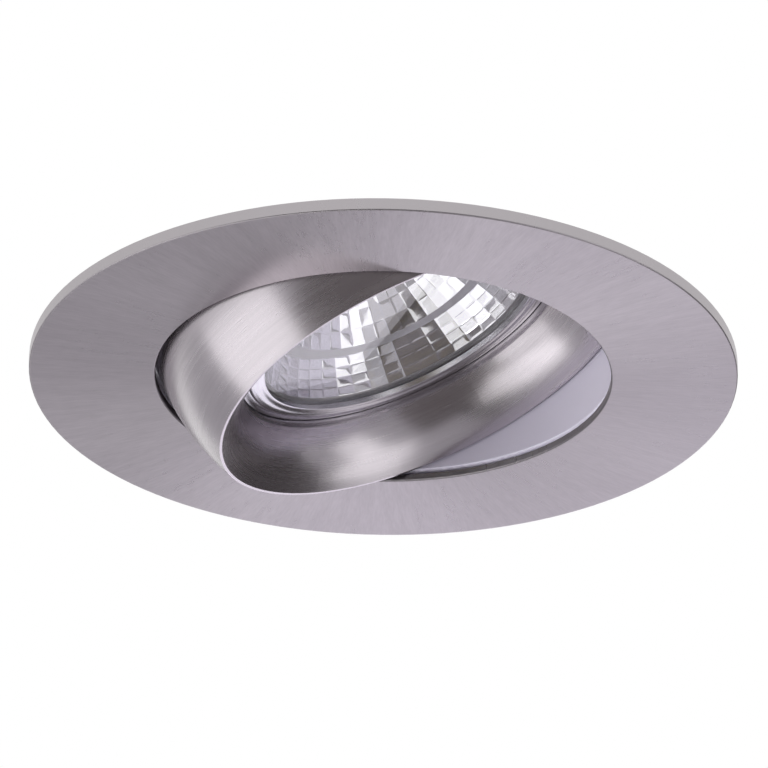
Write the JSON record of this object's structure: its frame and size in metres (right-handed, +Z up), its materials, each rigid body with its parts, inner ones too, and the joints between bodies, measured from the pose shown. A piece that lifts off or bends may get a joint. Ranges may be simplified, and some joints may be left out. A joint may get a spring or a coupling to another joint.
{
  "type": "recessed ceiling spotlight",
  "caption": "Round recessed ceiling spotlight: flat brushed trim, ball head that tilts in a white turning socket ring, faceted reflector, finned heat sink and folding spring clips.",
  "frame": {"origin": "centre of the ceiling plane, where the foam gasket meets the ceiling", "axes": "+Z up into the ceiling void, +X the way the tilted head throws its light, tilt axis along Y"},
  "size_m": [0.1044, 0.09, 0.053],
  "materials": {
    "brushed_nickel": "satin brushed nickel plate",
    "white_plastic": "smooth pale grey-white plastic",
    "grey_foam": "closed cell foam",
    "spring_steel": "bright drawn wire",
    "screw_steel": "bright zinc plate",
    "friction_fibre": "red-brown fibre",
    "polished_chrome": "polished chrome plate",
    "clear_glass": "clear flat glass",
    "black_rubber": "black moulded rubber",
    "mirror_coating": "vapour coated mirror facets",
    "white_holder": "white moulded plastic",
    "board_white": "white board",
    "phosphor": "yellow phosphor gel, unlit",
    "grey_silicone": "grey silicone sheet",
    "cast_aluminium": "blasted cast aluminium",
    "zinc_steel": "zinc plated pressed steel",
    "white_rubber": "pale soft silicone"
  },
  "bodies": {
    "trim": {"trim_ring": "brushed_nickel", "ceiling_gasket": "grey_foam", "swivel_snap_ring": "spring_steel", "clip_screws": "screw_steel", "clip_bracket_left": "zinc_steel", "clip_pin_left": "screw_steel", "clip_spring_left": "spring_steel", "clip_bracket_right": "zinc_steel", "clip_pin_right": "screw_steel", "clip_spring_right": "spring_steel"},
    "swivel": {"swivel_ring": "white_plastic"},
    "head": {"head_bezel": "brushed_nickel", "pivot_screws": "screw_steel", "tilt_washers": "friction_fibre", "lens_ring": "polished_chrome", "lens": "clear_glass", "lens_seal": "white_rubber", "reflector": "mirror_coating", "cob_holder": "white_holder", "holder_screws": "screw_steel", "cob_board": "board_white", "led_emitter": "phosphor", "thermal_pad": "grey_silicone", "heat_sink": "cast_aluminium", "heat_sink_screws": "screw_steel", "cable_grommet": "black_rubber"},
    "clip_left": {"clip_arm_left": "zinc_steel", "clip_pad_left": "white_rubber"},
    "clip_right": {"clip_arm_right": "zinc_steel", "clip_pad_right": "white_rubber"}
  },
  "joints": [
    {"name": "swivel_turn", "type": "hinge", "parent": "trim", "child": "swivel", "pos_m": [0, 0, 0], "axis": [0, 0, 1], "range_deg": [-175, 175]},
    {"name": "head_tilt", "type": "hinge", "parent": "swivel", "child": "head", "pos_m": [0, 0, 0.0103], "axis": [0, -1, 0], "range_deg": [-49, 1]},
    {"name": "clip_left_fold", "type": "hinge", "parent": "trim", "child": "clip_left", "pos_m": [-0.034, 0, 0.0165], "axis": [0, 1, 0], "range_deg": [0, 126], "stiffness_Nm_per_rad": 0.05, "springref_deg": -45.84, "deforming": ["clip_spring_left"]},
    {"name": "clip_right_fold", "type": "hinge", "parent": "trim", "child": "clip_right", "pos_m": [0.034, 0, 0.0165], "axis": [0, -1, 0], "range_deg": [0, 126], "stiffness_Nm_per_rad": 0.05, "springref_deg": -45.84, "deforming": ["clip_spring_right"]}
  ]
}
